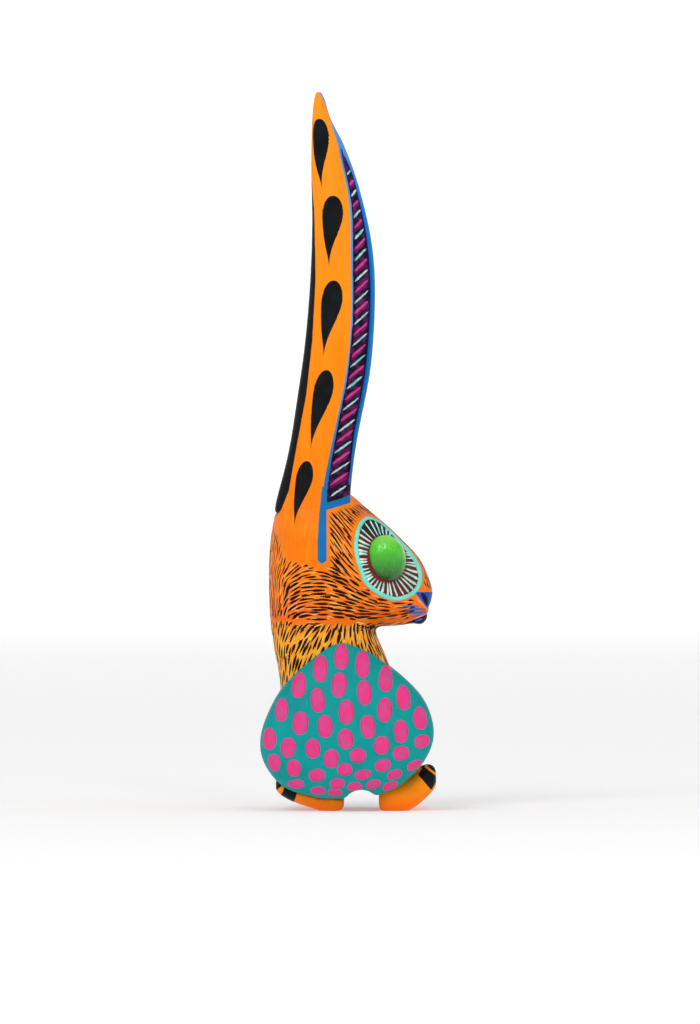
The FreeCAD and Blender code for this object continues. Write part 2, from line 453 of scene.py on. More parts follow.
# ==== the skin of torso, head and ears
SEAT_POINT = (-36.5, 0, 149.05)
SEAT_TILT = math.radians(8)
SEAT_UP = (-math.sin(SEAT_TILT), 0, math.cos(SEAT_TILT))
NECK_JOINT = 90
JAW = 94.5


def along_jaw(x):
    """Height of the line between the lips and the chin."""
    return 93.0 + (x - 27.6) * 0.42


def above_seat(points):
    """Height above the slanting plane that the ears stand on."""
    return (points - np.array(SEAT_POINT)) @ np.array(SEAT_UP)


def carve_body():
    """Torso, head and ears as one skin, with its joints filled and sanded over."""
    parts = ("torso", "neck_dowel", "head", "right_eye", "left_eye", "right_ear", "left_ear", "ear_pegs")
    skin = skinned(cad_mesh(*parts))
    points = points_of(skin)
    eye_middle, eye_half = middle_and_half("right_eye")
    eye_disc = np.hypot(*((points - eye_middle) / (eye_half + 1.2))[:, [0, 2]].T)
    outwards = np.abs(points[:, 1]) > 10
    relax(skin, np.where(outwards, 1 - rise(eye_disc, 0.9, 1.15), 0), 400)

    # The middle of the head, the foot of the ears and the throat are sanded smooth.
    x, _, z = points_of(skin).T
    head = rise(z, 91, 95) * (1 - rise(above_seat(points_of(skin)), -1, 2))
    relax(skin, 0.8 * head * near(x, 8, 20), 80)
    relax(skin, 0.8 * near(above_seat(points_of(skin)), 0, 4), 20)
    relax(skin, 0.8 * near(np.hypot(x - 14, z - 91), 0, 5), 20)

    # The cheeks stand over the neck, and the line of the mouth is cut in.
    points = points_of(skin)
    x, y, z = points.T
    cheek = rise(z, JAW - 2.5, JAW + 1) * (1 - rise(z, JAW + 3, JAW + 13))
    collar = (1 - rise(z, NECK_JOINT + 1, JAW)) * rise(z, 78, 88)
    sides = rise(x, -37, -26) * (1 - rise(x, 16, 30))
    mouth = near(z, along_jaw(x), 0.9) * rise(x, 27, 32)
    points += normals_of(skin) * ((0.5 * cheek - 0.4 * collar) * sides - 0.5 * mouth)[:, None]

    # The nose stands out over the lips, the chin hangs a little, and the tips of the ears are slimmer.
    points[:, 0] += 0.5 * near(z, 109, 4) * rise(x, 38, 41.5) - 0.8 * near(z, 101.5, 4) * rise(x, 36, 40)
    points[:, 2] -= 1.6 * near(x, 37.4, 6) * (1 - rise(z, 96.5, 98.5))
    points[:, 0] -= 1.3 * near(z, 346, 14) * rise(x, -15, -9)

    # The dip behind the brow is filled up to a straight slope.
    drop = 0.82
    slope = math.hypot(1, drop)
    under_brow = (158.2 - z - drop * (x - 1.2)) / slope
    filled = (1 - rise(np.abs(y), 6, 13)) * rise(z, 152, 153.5) * rise(x, -1.5, 0) * (1 - rise(z, 158, 159.5))
    points += (np.clip(under_brow, 0, 4) * filled)[:, None] * np.array((drop, 0, 1)) / slope
    move_points(skin, points)
    relax(skin, 0.4, 4)
    return skin


# ==== where the paint changes
# Tables of (height, X) or (height, width), EAR_MIDDLE of (height, distance from the middle), and outlines
# of (X, height), all read one by one.
BACK_STRIPE = [
    (146, -37.5), (147, -36.3), (150, -33.5), (160, -29.5), (180, -26), (208, -20.8), (235, -17.8),
    (265, -16.2), (280, -16.4), (300, -16.9), (313, -18), (325, -20),
]
STREAK_LOW, STREAK_HIGH = 123.2, 162
STREAK_BACK = [(STREAK_LOW, -12.9), (125, -15.2), (135, -15.2), (148, -14.4), (STREAK_HIGH, -12.9)]
STREAK_FRONT = [(STREAK_LOW, -12.9), (125, -10.6), (135, -10.6), (148, -10.7), (STREAK_HIGH, -10.4)]
NEAR_LINE_WIDTH = [
    (150, 2.6), (162, 2.4), (180, 1.8), (205, 1.4), (230, 1.1), (250, 1.2), (280, 1.6), (330, 1.2),
]
FAR_LINE_WIDTH = [
    (158, 0.3), (166, 0.6), (185, 1.5), (210, 2.0), (270, 2.0), (290, 1.6), (305, 1.0), (317, 0.4),
    (325, 0.8), (331, 1.6),
]
TIP_LINE = [(331, -4.1), (334, -4.8), (340, -6.8), (349.5, -9.4), (359, -13.8)]
EAR_MIDDLE = [(322.5, 14.3), (340, 15.2), (352, 15.8), (359, 16.1)]
EYE_RING = [
    (3.3, 136), (5.2, 143), (9.4, 147.3), (16, 145), (22, 140), (29, 133), (34.4, 125.7), (37, 118.7),
    (36.5, 112.7), (32.6, 107.5), (25.6, 104.8), (19.3, 105.7), (13.3, 109), (8, 114), (4.9, 122), (3.2, 129),
]
EYE_MIDDLE = (20.5, 125.0)
RING_WIDTH = 2.2
PLAIN_AREA = [
    (-38.5, 152), (-36.2, 140.5), (-31.7, 130.3), (-29.9, 125.4), (-26.4, 125), (-19.8, 123.7),
    (-14.1, 120), (-10.5, 124), (-10.5, 162),
]
BAND_SLOPE = 0.307
OUTSIDE = -5.0


def along(table, values):
    """Reads a table of (place, value) rows at many places."""
    places, readings = zip(*table)
    return np.interp(values, places, readings)


def smooth_loop(corners, count):
    """A closed Catmull-Rom curve through the corners, as count points."""
    corners = np.array(corners, float)
    total = len(corners)
    steps = np.arange(count) * total / count
    i = steps.astype(int)
    t = (steps - i)[:, None]
    a, b, c, d = (corners[(i + shift) % total] for shift in (-1, 0, 1, 2))
    return 0.5 * (2 * b + (c - a) * t + (2 * a - 5 * b + 4 * c - d) * t**2 + (3 * b - a - 3 * c + d) * t**3)


EYE_LOOP = smooth_loop(EYE_RING, 96)


def loop_radius(loop, middle, x, z):
    """How far out a loop is in the direction of each point, and how far out each point is."""
    offsets = loop - np.array(middle)
    turns = np.arctan2(offsets[:, 1], offsets[:, 0])
    order = np.argsort(turns)
    ways = np.arctan2(z - middle[1], x - middle[0])
    radii = np.interp(ways, turns[order], np.hypot(*offsets.T)[order], period=2 * math.pi)
    return radii, np.hypot(x - middle[0], z - middle[1])


def above_band(x, z):
    """Height above the lower edge of the blue band that runs forward from the foot of each ear."""
    return z - 150.2 - BAND_SLOPE * (x + 10.4)


def in_loop(corners, x, z):
    """True for the points inside a closed outline."""
    inside = np.zeros(len(x), bool)
    for (x1, z1), (x2, z2) in zip(corners, corners[1:] + corners[:1]):
        crosses = (z1 > z) != (z2 > z)
        level = x1 + (z - z1) * (x2 - x1) / ((z2 - z1) or 1e-9)
        inside ^= crosses & (x < level)
    return inside


class EarHollow:
    """The gouged hollow of the right ear, found on its CAD mesh by its sharp rim."""

    SHARP = math.radians(30)
    START = (4, -60, 230)
    LEVELS = np.arange(156.0, 331.0)
    RIM_STEPS = np.linspace(0, 1, 6)
    LOWEST = 150
    FAR_OFF = 12
    DEEP_OUTSIDE = -30.0

    def __init__(self):
        shape = bmesh.new()
        shape.from_mesh(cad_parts["right_ear"].data)
        bmesh.ops.remove_doubles(shape, verts=shape.verts, dist=1e-6)
        shape.faces.ensure_lookup_table()
        self.tree = BVHTree.FromBMesh(shape)
        first = self.tree.ray_cast(Vector(self.START) * MM, Vector((0, 1, 0)))[2]
        self.faces = {first}
        self.rim = []
        waiting = [shape.faces[first]]
        while waiting:
            for edge in waiting.pop().edges:
                if edge.calc_face_angle(0) > self.SHARP:
                    self.rim.append([np.array(vertex.co) / MM for vertex in edge.verts])
                    continue
                for face in edge.link_faces:
                    if face.index not in self.faces:
                        self.faces.add(face.index)
                        waiting.append(face)
        shape.free()
        dots = [a + (b - a) * step for a, b in self.rim for step in self.RIM_STEPS]
        self.rim_dots = KDTree(len(dots))
        for i, dot in enumerate(dots):
            self.rim_dots.insert(dot, i)
        self.rim_dots.balance()

    def edges_at(self, height):
        """The X of the near rim and of the far rim at a height."""
        marks = [
            a[0] + (height - a[2]) * (b[0] - a[0]) / (b[2] - a[2])
            for a, b in self.rim
            if (a[2] - height) * (b[2] - height) <= 0 and a[2] != b[2]
        ]
        return min(marks), max(marks)

    def measure(self, points):
        """For each point: how far inside the rim of its ear it is, and whether the far rim is closer."""
        depth = np.full(len(points), self.DEEP_OUTSIDE)
        far = np.zeros(len(points), bool)
        middles = np.array([sum(self.edges_at(level)) / 2 for level in self.LEVELS])
        for i in np.flatnonzero(points[:, 2] > self.LOWEST):
            x, y, z = points[i]
            spot = Vector((x, -abs(y), z))
            place, _, distance = self.rim_dots.find(spot)
            if distance <= self.FAR_OFF:
                inside = self.tree.find_nearest(spot * MM)[2] in self.faces
                depth[i] = distance if inside else -distance
                far[i] = place[0] > np.interp(place[2], self.LEVELS, middles)
        return depth, far


def mark_regions(skin, hollow):
    """Stores on the skin where each broad area of paint lies."""
    points = points_of(skin)
    x, y, z = points.T
    store(skin, "stripe", np.where(z > 146, along(BACK_STRIPE, z) - x, OUTSIDE))

    outer = np.where(np.abs(y) > 9.5, -OUTSIDE, OUTSIDE)
    streak = np.minimum(x - along(STREAK_BACK, z), along(STREAK_FRONT, z) - x)
    store(skin, "streak", np.minimum.reduce([streak, z - STREAK_LOW, STREAK_HIGH - z, outer]))

    above_upper_edge = z - 153.8 - 0.333 * (x + 10.4)
    store(skin, "band", np.minimum.reduce([above_band(x, z), -above_upper_edge, x + 11.2, 1.3 - x]))

    depth, far = hollow.measure(points)
    near_line = np.minimum.reduce([depth + along(NEAR_LINE_WIDTH, z), 0.15 - depth, z - 161])
    inner_line = depth - along(FAR_LINE_WIDTH, z)
    far_line = np.minimum.reduce([depth + 3.2, -inner_line, z - 163])
    narrowed = np.where(np.abs(y) < along(EAR_MIDDLE, z), 3.4 * (1 - rise(z, 331, 354)), 0)
    tip = np.minimum(x - along(TIP_LINE, z) + 0.55 - narrowed, z - 330.5)
    foot = np.minimum.reduce([above_upper_edge + 0.4, 163 - z, x + 10.7, outer])
    store(skin, "hollow", np.maximum(depth, foot))
    store(skin, "near_line", np.where(far, OUTSIDE, near_line))
    store(skin, "far_line", np.maximum(np.where(far, far_line, OUTSIDE), tip))
    navy = np.minimum(inner_line + 0.3, 1.0 - inner_line)
    store(skin, "rim_navy", np.where(far & (z > 175), navy, OUTSIDE))

    radii, distance = loop_radius(EYE_LOOP, EYE_MIDDLE, x, z)
    on_face = (z < 152) & (x > 0) & (np.abs(y) > 3)
    store(skin, "iris", np.where(on_face, radii - RING_WIDTH / 2 - distance, OUTSIDE))

    store(skin, "plain", np.where(in_loop(PLAIN_AREA, x, z), 3.0, -3.0))
    under_bridge = ((x - 34.3) * 6.8 + (z - 107.9) * 5.4) / math.hypot(6.8, 5.4)
    store(skin, "nose", np.where(x > 30, np.minimum(109.2 - z, under_bridge), OUTSIDE))
    store(skin, "chin", np.where(x > 27, along_jaw(x) - z, OUTSIDE))
    brow = 150.5 - (x - 2) * 0.95
    store(skin, "forehead", np.where((x > 2) & (z > 108), z - brow, -9))


# ==== raised brush marks
class Skin:
    """A surface to lay marks on, in millimetres."""

    def __init__(self, mesh):
        self.points = points_of(mesh)
        self.normals = normals_of(mesh)
        faces = [tuple(face.vertices) for face in mesh.polygons]
        self.tree = BVHTree.FromPolygons(self.points.tolist(), faces)

    def nearest(self, point):
        """The closest place on the surface, and the way that it faces there."""
        return self.tree.find_nearest(point)[:2]

    def from_side(self, x, z, side):
        """Where a level line from one side first meets the surface, or else the closest place."""
        place = self.tree.ray_cast(Vector((x, side * 90, z)), Vector((0, -side, 0)))[0]
        return place or self.nearest(Vector((x, side * 20, z)))[0]


class Marks:
    """Brush marks in one mesh. Each is a closed, slightly domed ribbon that lies on a skin."""

    SUNK = 0.012
    UNDER = 0.15
    LEAST_SLANT = 0.45
    SLANT_CHANGE = 0.35

    def __init__(self):
        self.points = []
        self.faces = []

    def ring(self, points):
        """Keeps a ring of points, and returns their numbers."""
        first = len(self.points)
        self.points += points
        return range(first, len(self.points))

    def ribbon(self, skin, line, half_widths, rows=1, lift=0.10, closed=False, level=False):
        """A mark along a line. Where it isn't closed it starts and ends in a point, and rows adds columns.
        level gives it its width as seen level from the side, where the skin turns away."""
        spots = [skin.nearest(Vector(point)) for point in line]
        shares = [1 - i / rows for i in range(2 * rows + 1)]
        rings, slant = [], None
        for i, (place, normal) in enumerate(spots):
            if not closed and i in (0, len(line) - 1):
                rings.append(self.ring([place - normal * self.SUNK]))
                continue
            way = spots[(i + 1) % len(line)][0] - spots[i - 1][0]
            across = normal.cross(way).normalized()
            if level:
                turned = max(math.hypot(across.x, across.z), self.LEAST_SLANT)
                slant = turned if slant is None else blend(slant, turned, self.SLANT_CHANGE)
                across /= slant
            across *= half_widths[i]
            top, bottom = [], []
            for share in shares:
                spot, up = skin.nearest(place + across * share)
                if abs(share) == 1:
                    top.append(spot - up * self.SUNK)
                else:
                    top.append(spot + up * lift * math.sqrt(1 - share * share))
                    bottom.append(spot - up * self.UNDER)
            rings.append(self.ring(top + bottom[::-1]))
        if closed:
            rings.append(rings[0])
        for a, b in zip(rings, rings[1:]):
            self.join(a, b)

    def join(self, a, b):
        """Makes the faces between two rings, of which one may be a single point."""
        size = max(len(a), len(b))
        for j in range(size):
            k = (j + 1) % size
            if len(a) == 1:
                self.faces.append((a[0], b[k], b[j]))
            elif len(b) == 1:
                self.faces.append((a[j], a[k], b[0]))
            else:
                self.faces.append((a[j], a[k], b[k], b[j]))

    def mesh(self):
        mesh = bpy.data.meshes.new("marks")
        mesh.from_pydata([tuple(point * MM) for point in self.points], [], self.faces)
        return mesh


def blend(a, b, share):
    return a + (b - a) * share


# ---- fur
# Directions of the fur, read one by one: place along X, height, and angle from +X in degrees.
FLOW = [
    (-37, 135, 85), (-37, 110, 85), (-36, 95, 80), (-32, 125, 60), (-33, 110, 70), (-32, 98, 60),
    (-27, 122, 35), (-27, 115, 25), (-27, 107, 25), (-27, 98, 20), (-17, 120, 8), (-17, 112, 3),
    (-17, 103, 0), (-17, 96, -3), (-12, 118, -10), (-5, 115, -25), (-5, 108, -17), (-5, 100, -8),
    (-9, 135, -62), (-5, 140, -55), (-2, 148, -55), (-5, 125, -50), (0, 130, -58), (3, 150, -45),
    (2, 118, -45), (6, 112, -35), (10, 106, -25), (18, 101, -15), (25, 100, -8), (33, 100, -3),
    (10, 96, -3), (20, 94, 3), (30, 95, 8), (38.5, 115, -65), (40, 111, -75), (10, 150, -45),
    (25, 138, -45), (33, 129, -50), (-36, 85, 75), (-30, 88, 55), (-25, 85, 60), (-20, 88, 52),
    (-10, 88, 65), (-5, 88, 75), (0, 88, 85), (8, 86, 95), (14, 82, 110), (-33, 75, 80),
    (-25, 78, 65), (-15, 82, 70), (0, 50, 90),
]
EYE_GAP = 0.5
LOWEST_HEAD_FUR = 95.4
LOWEST_NECK_FUR = 14
MOST_TRIES = 60000
STROKE_SHAPE = [0, 0.7, 1.0, 0.95, 0.75, 0.45, 0]


def on_head_fur(points):
    """True for the places on the head that are furred, clear of everything else that is painted there."""
    x, y, z = points.T
    ring_radii, from_eye = loop_radius(EYE_LOOP, EYE_MIDDLE, x, z)
    beside_eye = (x < 0) | (from_eye > ring_radii + EYE_GAP) | (np.abs(y) < 3)
    streak = (x > -15.8) & (x < -10.2) & (z > 123)
    muzzle = ((x > 34) & (z < 109.9)) | ((x > 31.5) & (z < 98.5)) | (z < along_jaw(x) + 0.8)
    under_ear = above_seat(points) > -0.8
    band = (above_band(x, z) > -0.8) & (x > -12)
    plain = in_loop(PLAIN_AREA, x, z)
    return (z > LOWEST_HEAD_FUR) & beside_eye & ~(streak | muzzle | under_ear | band | plain)


def on_neck_fur(points):
    """True for the places on the neck and torso that are furred and not covered by a haunch."""
    x, y, z = points.T
    behind_haunch = (np.abs(y) > 14) & (z < 84 - 0.9 * np.abs(x)) & (z < 70)
    return (z > LOWEST_NECK_FUR) & (z < np.where(x < -27, 95.6, 94)) & ~behind_haunch


def on_tail_fur(points):
    """True for the back of the tail, which is furred."""
    return points[:, 0] < -33


FLOW_PLACES = np.array([row[:2] for row in FLOW], float)
FLOW_TURNS = np.exp(2j * np.radians([row[2] for row in FLOW]))


def flow_at(x, z):
    """The fur's direction at a place, as a vector without a sideways part."""
    gaps = (FLOW_PLACES[:, 0] - x) ** 2 + (FLOW_PLACES[:, 1] - z) ** 2 + 1.0
    turn = np.angle(np.sum(FLOW_TURNS / gaps**1.5)) / 2
    return Vector((math.cos(turn), 0, math.sin(turn)))


def tangent(direction, normal):
    flat = direction - normal * direction.dot(normal)
    return flat.normalized() if flat.length > 0.05 else Vector((0, 0, 1)).cross(normal).normalized()


def scatter(skin, allowed, spacing, across_spacing):
    """Places for strokes, none too close to another along or across the fur."""
    order = np.flatnonzero(allowed).tolist()
    rng.shuffle(order)
    taken, chosen = {}, []
    for i in order[:MOST_TRIES]:
        place = Vector(skin.points[i])
        key = tuple(int(v // spacing) for v in place)
        cells = itertools.product(*((v - 1, v, v + 1) for v in key))
        gaps = [place - other for cell in cells for other in taken.get(cell, ())]
        gaps = [gap for gap in gaps if gap.length_squared <= spacing * spacing]
        if gaps:
            way = tangent(flow_at(place.x, place.z), Vector(skin.normals[i]))
            if any(crowds(gap, way, spacing, across_spacing) for gap in gaps):
                continue
        taken.setdefault(key, []).append(place)
        chosen.append(place)
    return chosen


def crowds(gap, way, spacing, across_spacing):
    """True where a gap ends inside an ellipse whose half-axes are the two spacings."""
    run = gap.dot(way)
    rest = max(gap.length_squared - run * run, 0)
    return (run / spacing) ** 2 + rest / across_spacing**2 < 1


def trace(skin, place, step, count, area):
    """Steps along the fur while the area allows. A step under zero starts the other way."""
    line, spot, heading = [], place, None
    for _ in range(count):
        spot, normal = skin.nearest(spot)
        way = tangent(flow_at(spot.x, spot.z), normal)
        turned = step < 0 if heading is None else way.dot(heading) < 0
        heading = -way if turned else way
        spot = spot + heading * abs(step)
        if not area(np.array([spot]))[0]:
            break
        line.append(spot)
    return line


def lay_fur(skin, area, spacing, across_spacing, lengths, half_widths, lift):
    """Strokes of fur that follow the flow over an area, each thicker towards one end."""
    marks = Marks()
    half = len(STROKE_SHAPE) // 2
    for place in scatter(skin, area(skin.points), spacing, across_spacing):
        on_forehead = rise(place.z, 118, 128) * rise(place.x, -13, -9)
        at_back = rise(-place.x, 30, 34) * rise(place.z, 96, 104)
        step = rng.uniform(*lengths) / (2 * half) * (1 + 0.45 * on_forehead)
        thick = rng.uniform(*half_widths) * (1 - 0.25 * on_forehead - 0.35 * at_back)
        turned = rng.random() < 0.5
        line = trace(skin, place, -step, half, area)[::-1] + [place] + trace(skin, place, step, half, area)
        if len(line) >= 4:
            places = np.linspace(0, len(STROKE_SHAPE) - 1, len(line))
            widths = thick * np.interp(places, range(len(STROKE_SHAPE)), STROKE_SHAPE)
            marks.ribbon(skin, line, widths[::-1] if turned else widths, lift=lift)
    return marks


# ---- ears
# Each drop: its round top and its tip, both as X and height, and its width.
DROPS = [
    ((-14.5, 345.4), (-12.5, 311.0), 10.2),
    ((-7.3, 307), (-9, 272), 11.4),
    ((-6.8, 264.7), (-11.7, 227), 11.2),
    ((-10.3, 220), (-18.2, 181), 10.2),
    ((-20.2, 174.6), (-26.3, 142.8), 8.8),
]
DROP_WIDEST = 0.27


def eased_steps(count):
    """Steps from -1 to 1, closer together towards both ends."""
    return [-math.cos(math.pi * i / (count - 1)) for i in range(count)]


def drop_width(share):
    """A drop's width from its round top to its long thin tip."""
    if share < DROP_WIDEST:
        return math.sqrt(max(1 - (1 - share / DROP_WIDEST) ** 2, 0))
    tail = (share - DROP_WIDEST) / (1 - DROP_WIDEST)
    return (1 - tail) ** 2 * (1 + 1.6 * tail) + 0.08 * math.sin(math.pi * tail) * tail


def lay_drops(skin):
    marks = Marks()
    shares = [(1 + step) / 2 for step in eased_steps(28)]
    for side, (top, tip, width) in itertools.product(SIDES.values(), DROPS):
        line = []
        for share in shares:
            x = blend(top[0], tip[0], share) - near(share, 0.74, 0.5)
            line.append(skin.from_side(x, blend(top[1], tip[1], share), side))
        widths = [width / 2 * drop_width(share) for share in shares]
        marks.ribbon(skin, line, widths, rows=4, lift=0.12, level=True)
    return marks


HASH_PITCH = 5.35
HASH_START, HASH_END, HOLLOW_END = 157.0, 318, 329.5
HASH_TURNS = [(160, 34), (270, 45), (300, 52), (322, 58)]
HASH_SHAPE = [0, 0.8, 1, 0.95, 0.9, 0.9, 0.85, 0.7, 0]
HASH_STEP = 0.25


def lay_hashes(skin, hollow, first, half_width, lift, shift=0.0, reach=1.0):
    """Slanting strokes across the hollow of each ear, from the pitch called first up, at every second one."""
    marks = Marks()
    for side in SIDES.values():
        height = HASH_START + first * HASH_PITCH + shift
        while height < HASH_END:
            slope = math.tan(math.radians(along(HASH_TURNS, height)))
            start = hollow.edges_at(height)[0] + HASH_STEP
            end = start
            while end < 30:
                level = min(height + (end - start) * slope, HOLLOW_END)
                if end > hollow.edges_at(level)[1] - along(FAR_LINE_WIDTH, level) - 0.3:
                    break
                end += HASH_STEP
            length = (end - start) * reach
            line = []
            for i in range(len(HASH_SHAPE)):
                x = start + length * i / (len(HASH_SHAPE) - 1)
                z = height + (x - start) * slope + rng.uniform(-0.16, 0.16)
                line.append(skin.from_side(x, z, side))
            thick = half_width * rng.uniform(0.8, 1.15)
            widths = [thick * share * rng.uniform(0.85, 1.15) for share in HASH_SHAPE]
            if length > 1.3:
                marks.ribbon(skin, line, widths, lift=lift)
            height += 2 * HASH_PITCH
    return marks


# ---- face
RAYS = 44
RAY_SHAPE = [0, 0.55, 0.7, 0.9, 1.05, 0]


def lay_eye_ring(skin):
    marks = Marks()
    middle = np.array(EYE_MIDDLE)
    for side in SIDES.values():
        line, widths = [], []
        for x, z in smooth_loop(EYE_RING, 72):
            offset = np.array((x, z)) - middle
            inset = middle + offset * (1 - RING_WIDTH / 2 / np.hypot(*offset))
            line.append(skin.from_side(*inset, side))
            thin = rise(x + z, 158, 168) * 0.3
            widths.append(RING_WIDTH / 2 * (1 - thin + 0.08 * math.sin(0.7 * x + 0.9 * z)))
        marks.ribbon(skin, line, widths, rows=2, lift=0.16, closed=True, level=True)
    return marks


def lay_eye_rays(skin):
    """Fine lines that fan out from the dome of the eye to its ring."""
    marks = Marks()
    loop = smooth_loop(EYE_RING, 360)
    dome, dome_half = (values[[0, 2]] for values in middle_and_half("right_eye"))
    for side, k in itertools.product(SIDES.values(), range(RAYS)):
        turn = 2 * math.pi * (k + rng.uniform(-0.22, 0.22)) / RAYS
        way = np.array((math.cos(turn), math.sin(turn)))
        aside = np.array((-way[1], way[0]))
        start = dome + way * dome_half * 0.97
        radius, _ = loop_radius(loop, tuple(dome), dome[0] + way[0:1], dome[1] + way[1:2])
        end = dome + way * (radius[0] - RING_WIDTH * 0.6)
        if np.hypot(*(end - dome)) < np.hypot(*(start - dome)) + 1:
            continue
        bend = rng.uniform(-0.35, 0.35)
        line = []
        for i in range(len(RAY_SHAPE)):
            share = i / (len(RAY_SHAPE) - 1)
            spot = blend(start, end, share) + aside * bend * math.sin(math.pi * share)
            line.append(skin.from_side(*spot, side))
        outer = rng.uniform(0.5, 0.95)
        marks.ribbon(skin, line, [outer * share for share in RAY_SHAPE], lift=0.09)
    return marks


def lay_lines(skin, *lines):
    """Marks placed one by one on both sides: each is its points in X and Z and its half-width."""
    marks = Marks()
    for side, (points, half_width) in itertools.product(SIDES.values(), lines):
        x, z = np.array(points, float).T
        runs = np.append(0, np.cumsum(np.hypot(np.diff(x), np.diff(z))))
        steps = max(int(runs[-1] / 0.6), 5)
        places = np.linspace(0, runs[-1], steps + 1)
        spots = zip(np.interp(places, runs, x), np.interp(places, runs, z))
        line = [skin.from_side(*spot, side) for spot in spots]
        widths = [half_width * math.sin(math.pi * i / steps) ** 0.6 for i in range(steps + 1)]
        marks.ribbon(skin, line, widths, rows=2, lift=0.14)
    return marks


# ==== haunches, feet, tail and eyes
HAUNCH_MIDDLE = 22.0
OVALS = [
    (-3.3, 77.2), (-13.8, 71.3), (7.4, 73.4), (-24.5, 63), (-4.4, 63.2), (18.9, 66.3), (-33.2, 50.9),
    (-15, 55.7), (8.2, 59.4), (27.7, 57), (-23.6, 44.4), (-0.8, 49.9), (18.3, 50.9), (36.2, 46.8),
    (-39.4, 36.5), (-11.3, 42.8), (9.9, 42.6), (26.3, 40.3), (36.8, 35.1), (-29.7, 32.2), (-17.5, 31.8),
    (-1.1, 36.5), (16.8, 33.4), (26.4, 29.4), (-36.9, 24.7), (-26.9, 22), (-8.3, 26.8), (5, 28.3),
    (17.3, 23.4), (33.1, 23.2), (-15.4, 18.4), (-1.6, 21.3), (7.4, 18.8), (23.3, 18.7), (-25.7, 13.8),
    (-14.8, 10.5), (-5.3, 14.3), (3.3, 12.6), (12.7, 13.8), (21, 12.6), (-6.5, 9.7),
]
OVAL_HEIGHT = [
    (9, 3.2), (10.5, 4.6), (14, 5.2), (18, 6.8), (22, 8.4), (25, 9.2), (32, 10), (38, 10.8), (50, 11.8),
    (60, 12.4), (78, 13.2),
]
# The black bands on the toes, each as four corners in X and height, going round one way.
PAW_BANDS = [
    [(37.6, 22.4), (35.0, 18.2), (41.6, 10.4), (45.4, 16.4)],
    [(38.8, 24.6), (38.1, 23.2), (46.4, 17.0), (47.4, 18.4)],
]
HIND_BANDS = [
    [(-31.5, 12.2), (-33.6, 7.8), (-27.2, 3.5), (-25.2, 9.8)],
    [(-32.8, 20), (-38.4, 12), (-37, 9.0), (-32.8, 13.0)],
]
# Each foot: which way its toes point, where the grooves between them start and end, their Y, and its bands.
FEET = {
    "foreleg": (1, (32, 38), (9.7, 15.3), PAW_BANDS),
    "hind_foot": (-1, (27, 32), (22.2, 27.8), HIND_BANDS),
}


def carve_haunch(name, side):
    """A haunch with a flatter outer face and a firmer edge than plain ellipses give."""
    skin = skinned(cad_mesh(f"{name}_haunch"), 0.7 * MM)
    relax(skin, 0.5, 3)
    points = points_of(skin)
    x, y, z = points.T
    out = side * y - HAUNCH_MIDDLE
    levels = np.arange(z.min() + 0.4, z.max(), 0.7)
    rows = [np.abs(z - level) < 0.38 for level in levels]
    back = np.interp(z, levels, [x[row].min() for row in rows])
    front = np.interp(z, levels, [x[row].max() for row in rows])
    depth = np.interp(z, levels, [max(out[row].max(), 0.5) for row in rows])
    u = (x - (back + front) / 2) / ((front - back) / 2)
    v = out / depth
    power = 2 + 1.5 * rise(z, 8, 26) * (1 - rise(z, 58, 82))
    reach = np.maximum(np.hypot(u, v), 1e-6)
    grow = 1 / ((np.abs(u) / reach) ** power + (np.abs(v) / reach) ** power) ** (1 / power)
    grow = np.where(v > 0, 1 + (grow - 1) * rise(v, 0.0, 0.25), 1)
    points[:, 0] = (back + front) / 2 + u * grow * (front - back) / 2
    points[:, 1] = side * (HAUNCH_MIDDLE + np.where(v > 0, v * grow, v) * depth - 0.15)
    move_points(skin, points)
    relax(skin, 0.5, 12)
    # The band stored as edge runs along the upper rim of the haunch, where the pale painted highlight goes.
    store(skin, "edge", 0.8 * rise(z, 46, 66) - 0.1 - np.abs(out + 0.2))
    return skin


def lay_ovals(skins):
    marks = Marks()
    steps = eased_steps(11)
    for (name, side), (x, z) in itertools.product(SIDES.items(), OVALS):
        tall = along(OVAL_HEIGHT, z) * rng.uniform(0.96, 1.05)
        low_middle = 2.2 * rise(x, -14, 8) * (1 - rise(z, 30, 40))
        low_front = 1.6 * rise(x, 24, 36) * (1 - rise(z, 36, 44))
        tall -= rise(z, 12, 22) * (low_middle + low_front)
        wide = rng.uniform(7.5, 8.4) - 0.8 * near(z, 9, 6)
        lean = math.radians(rng.uniform(-6, 6) + 32 * rise(x, 0, 25) * (1 - rise(z, 22, 40)))
        way = (math.sin(lean), math.cos(lean))
        if tall < wide:
            lean = 0.5 * lean + math.radians(6)
            way = (math.cos(lean), math.sin(lean))
        reach = max(tall, wide) / 2
        half_width = min(tall, wide) / 2
        line = [skins[name].from_side(x + way[0] * s * reach, z + way[1] * s * reach, side) for s in steps]
        widths = [half_width * max(1 - s**2, 0) ** 0.40 for s in steps]
        marks.ribbon(skins[name], line, widths, rows=3, lift=0.12, level=True)
    return marks


